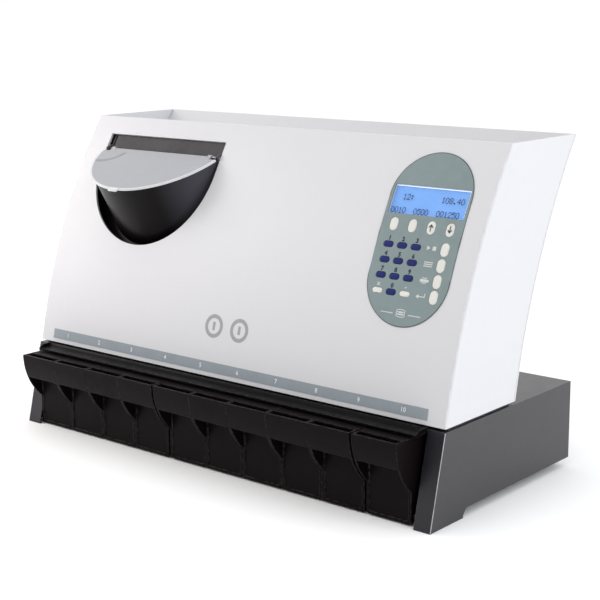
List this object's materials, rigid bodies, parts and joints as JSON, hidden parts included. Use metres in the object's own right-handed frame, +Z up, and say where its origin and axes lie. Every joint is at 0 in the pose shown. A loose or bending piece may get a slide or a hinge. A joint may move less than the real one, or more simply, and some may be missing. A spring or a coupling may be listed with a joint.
{
  "type": "coin sorting machine",
  "caption": "Desktop coin sorter with a hopper bowl and lid on a curved leaning front, a keypad with display, a top tray, and a row of pull-out coin boxes in a steel base.",
  "frame": {"origin": "on the table, in the middle of the machine's outline", "axes": "+X to the right along the front as the user faces it, +Y to the back, +Z up"},
  "size_m": [0.64, 0.3064, 0.3904],
  "materials": {
    "black_steel": "fine satin black powder coat on sheet steel",
    "rubber": "matt moulded rubber",
    "white_shell": "smooth satin white moulding",
    "grey_label": "printed grey label strip",
    "black_plastic": "smooth satin black moulding",
    "box_plastic": "fine textured black moulding",
    "grey_plastic": "matt dark grey moulding",
    "clear_lid": "frosted translucent moulding",
    "overlay": "matt printed membrane in grey green",
    "display_pane": "clear pane",
    "display": "blue backlit character display",
    "white_key": "satin off white rubber",
    "navy_key": "satin navy rubber",
    "circuit_board": "green lacquered board",
    "steel": "brushed sheet steel",
    "disc": "wear resistant moulded disc",
    "motor": "cast and plated motor cases",
    "dark_plastic": "dark moulded plastic",
    "belt_rubber": "ribbed belt",
    "copper": "wound coils"
  },
  "bodies": {
    "chassis": {"base_shell": "black_steel", "base_floor": "black_steel", "rubber_feet": "rubber", "front_ledge": "black_steel", "front_housing": "white_shell", "back_panel": "white_shell", "top_tray": "white_shell", "number_strip": "grey_label", "hopper_bezel": "black_plastic", "hopper_bar": "grey_plastic", "hinge_pins": "steel", "hopper_bowl": "black_plastic", "panel_overlay": "overlay", "lcd_window": "display_pane", "lcd_module": "display", "key_board": "circuit_board", "sort_plate": "steel", "coin_rail": "steel", "drive_motors": "motor", "transport_belt": "belt_rubber", "chute_rack": "dark_plastic", "gate_solenoids": "copper", "control_board": "circuit_board", "power_supply": "steel", "power_inlet": "dark_plastic"},
    "lid": {"hopper_lid": "clear_lid"},
    "feed_disc": {"feed_disc": "disc"},
    "drive_pulley": {"drive_pulley": "dark_plastic"},
    "idler_pulley": {"idler_pulley": "dark_plastic"},
    "power_rocker": {"power_rocker": "dark_plastic"},
    "key_blank_1": {"key_blank_1": "white_key"},
    "key_blank_2": {"key_blank_2": "white_key"},
    "key_up": {"key_up": "white_key"},
    "key_down": {"key_down": "white_key"},
    "key_1": {"key_1": "navy_key"},
    "key_2": {"key_2": "navy_key"},
    "key_3": {"key_3": "navy_key"},
    "key_4": {"key_4": "navy_key"},
    "key_5": {"key_5": "navy_key"},
    "key_6": {"key_6": "navy_key"},
    "key_7": {"key_7": "navy_key"},
    "key_8": {"key_8": "navy_key"},
    "key_9": {"key_9": "navy_key"},
    "key_clear": {"key_clear": "white_key"},
    "key_0": {"key_0": "navy_key"},
    "key_point": {"key_point": "white_key"},
    "key_start_stop": {"key_start_stop": "white_key"},
    "key_batch": {"key_batch": "white_key"},
    "key_print": {"key_print": "white_key"},
    "key_enter": {"key_enter": "white_key"},
    "coin_box_1": {"coin_box_1": "box_plastic"},
    "coin_box_2": {"coin_box_2": "box_plastic"},
    "coin_box_3": {"coin_box_3": "box_plastic"},
    "coin_box_4": {"coin_box_4": "box_plastic"},
    "coin_box_5": {"coin_box_5": "box_plastic"},
    "coin_box_6": {"coin_box_6": "box_plastic"},
    "coin_box_7": {"coin_box_7": "box_plastic"},
    "coin_box_8": {"coin_box_8": "box_plastic"},
    "coin_box_9": {"coin_box_9": "box_plastic"},
    "coin_box_10": {"coin_box_10": "box_plastic"}
  },
  "joints": [
    {"name": "lid_hinge", "type": "hinge", "parent": "chassis", "child": "lid", "pos_m": [-0.1803, -0.01222, 0.35063], "axis": [-1, 0, 0], "range_deg": [0, 125]},
    {"name": "disc_spin", "type": "hinge", "parent": "chassis", "child": "feed_disc", "pos_m": [-0.1803, -0.00619, 0.27232], "axis": [0, -0.9269, 0.3753], "continuous": true},
    {"name": "drive_spin", "type": "hinge", "parent": "chassis", "child": "drive_pulley", "pos_m": [0.29, -0.04878, 0.16712], "axis": [0, -0.9269, 0.3753], "continuous": true},
    {"name": "idler_spin", "type": "hinge", "parent": "chassis", "child": "idler_pulley", "pos_m": [-0.29, -0.04878, 0.16712], "axis": [0, -0.9269, 0.3753], "continuous": true},
    {"name": "switch_rock", "type": "hinge", "parent": "chassis", "child": "power_rocker", "pos_m": [-0.222, 0.14765, 0.056], "axis": [-1, 0, 0], "range_deg": [0, 16]},
    {"name": "key_blank_1_press", "type": "slide", "parent": "chassis", "child": "key_blank_1", "axis": [0, 0.898, -0.44], "range_m": [0, 0.0005], "stiffness_N_per_m": 900, "springref_m": -0.0003},
    {"name": "key_blank_2_press", "type": "slide", "parent": "chassis", "child": "key_blank_2", "axis": [0, 0.898, -0.44], "range_m": [0, 0.0005], "stiffness_N_per_m": 900, "springref_m": -0.0003},
    {"name": "key_up_press", "type": "slide", "parent": "chassis", "child": "key_up", "axis": [0, 0.898, -0.44], "range_m": [0, 0.0005], "stiffness_N_per_m": 900, "springref_m": -0.0003},
    {"name": "key_down_press", "type": "slide", "parent": "chassis", "child": "key_down", "axis": [0, 0.898, -0.44], "range_m": [0, 0.0005], "stiffness_N_per_m": 900, "springref_m": -0.0003},
    {"name": "key_1_press", "type": "slide", "parent": "chassis", "child": "key_1", "axis": [0, 0.9104, -0.4138], "range_m": [0, 0.0005], "stiffness_N_per_m": 900, "springref_m": -0.0003},
    {"name": "key_2_press", "type": "slide", "parent": "chassis", "child": "key_2", "axis": [0, 0.9104, -0.4138], "range_m": [0, 0.0005], "stiffness_N_per_m": 900, "springref_m": -0.0003},
    {"name": "key_3_press", "type": "slide", "parent": "chassis", "child": "key_3", "axis": [0, 0.9104, -0.4138], "range_m": [0, 0.0005], "stiffness_N_per_m": 900, "springref_m": -0.0003},
    {"name": "key_4_press", "type": "slide", "parent": "chassis", "child": "key_4", "axis": [0, 0.9193, -0.3936], "range_m": [0, 0.0005], "stiffness_N_per_m": 900, "springref_m": -0.0003},
    {"name": "key_5_press", "type": "slide", "parent": "chassis", "child": "key_5", "axis": [0, 0.9193, -0.3936], "range_m": [0, 0.0005], "stiffness_N_per_m": 900, "springref_m": -0.0003},
    {"name": "key_6_press", "type": "slide", "parent": "chassis", "child": "key_6", "axis": [0, 0.9193, -0.3936], "range_m": [0, 0.0005], "stiffness_N_per_m": 900, "springref_m": -0.0003},
    {"name": "key_7_press", "type": "slide", "parent": "chassis", "child": "key_7", "axis": [0, 0.9276, -0.3736], "range_m": [0, 0.0005], "stiffness_N_per_m": 900, "springref_m": -0.0003},
    {"name": "key_8_press", "type": "slide", "parent": "chassis", "child": "key_8", "axis": [0, 0.9276, -0.3736], "range_m": [0, 0.0005], "stiffness_N_per_m": 900, "springref_m": -0.0003},
    {"name": "key_9_press", "type": "slide", "parent": "chassis", "child": "key_9", "axis": [0, 0.9276, -0.3736], "range_m": [0, 0.0005], "stiffness_N_per_m": 900, "springref_m": -0.0003},
    {"name": "key_clear_press", "type": "slide", "parent": "chassis", "child": "key_clear", "axis": [0, 0.9355, -0.3534], "range_m": [0, 0.0005], "stiffness_N_per_m": 900, "springref_m": -0.0003},
    {"name": "key_0_press", "type": "slide", "parent": "chassis", "child": "key_0", "axis": [0, 0.9355, -0.3534], "range_m": [0, 0.0005], "stiffness_N_per_m": 900, "springref_m": -0.0003},
    {"name": "key_point_press", "type": "slide", "parent": "chassis", "child": "key_point", "axis": [0, 0.9355, -0.3534], "range_m": [0, 0.0005], "stiffness_N_per_m": 900, "springref_m": -0.0003},
    {"name": "key_start_stop_press", "type": "slide", "parent": "chassis", "child": "key_start_stop", "axis": [0, 0.9099, -0.4148], "range_m": [0, 0.0005], "stiffness_N_per_m": 900, "springref_m": -0.0003},
    {"name": "key_batch_press", "type": "slide", "parent": "chassis", "child": "key_batch", "axis": [0, 0.9189, -0.3944], "range_m": [0, 0.0005], "stiffness_N_per_m": 900, "springref_m": -0.0003},
    {"name": "key_print_press", "type": "slide", "parent": "chassis", "child": "key_print", "axis": [0, 0.9273, -0.3742], "range_m": [0, 0.0005], "stiffness_N_per_m": 900, "springref_m": -0.0003},
    {"name": "key_enter_press", "type": "slide", "parent": "chassis", "child": "key_enter", "axis": [0, 0.9352, -0.3542], "range_m": [0, 0.0005], "stiffness_N_per_m": 900, "springref_m": -0.0003},
    {"name": "box_1_slide", "type": "slide", "parent": "chassis", "child": "coin_box_1", "axis": [0, -1, 0], "range_m": [0, 0.18]},
    {"name": "box_2_slide", "type": "slide", "parent": "chassis", "child": "coin_box_2", "axis": [0, -1, 0], "range_m": [0, 0.18]},
    {"name": "box_3_slide", "type": "slide", "parent": "chassis", "child": "coin_box_3", "axis": [0, -1, 0], "range_m": [0, 0.18]},
    {"name": "box_4_slide", "type": "slide", "parent": "chassis", "child": "coin_box_4", "axis": [0, -1, 0], "range_m": [0, 0.18]},
    {"name": "box_5_slide", "type": "slide", "parent": "chassis", "child": "coin_box_5", "axis": [0, -1, 0], "range_m": [0, 0.18]},
    {"name": "box_6_slide", "type": "slide", "parent": "chassis", "child": "coin_box_6", "axis": [0, -1, 0], "range_m": [0, 0.18]},
    {"name": "box_7_slide", "type": "slide", "parent": "chassis", "child": "coin_box_7", "axis": [0, -1, 0], "range_m": [0, 0.18]},
    {"name": "box_8_slide", "type": "slide", "parent": "chassis", "child": "coin_box_8", "axis": [0, -1, 0], "range_m": [0, 0.18]},
    {"name": "box_9_slide", "type": "slide", "parent": "chassis", "child": "coin_box_9", "axis": [0, -1, 0], "range_m": [0, 0.18]},
    {"name": "box_10_slide", "type": "slide", "parent": "chassis", "child": "coin_box_10", "axis": [0, -1, 0], "range_m": [0, 0.18]}
  ],
  "couplings": [
    {"joint": "idler_spin", "follows": "drive_spin", "ratio": 1}
  ]
}
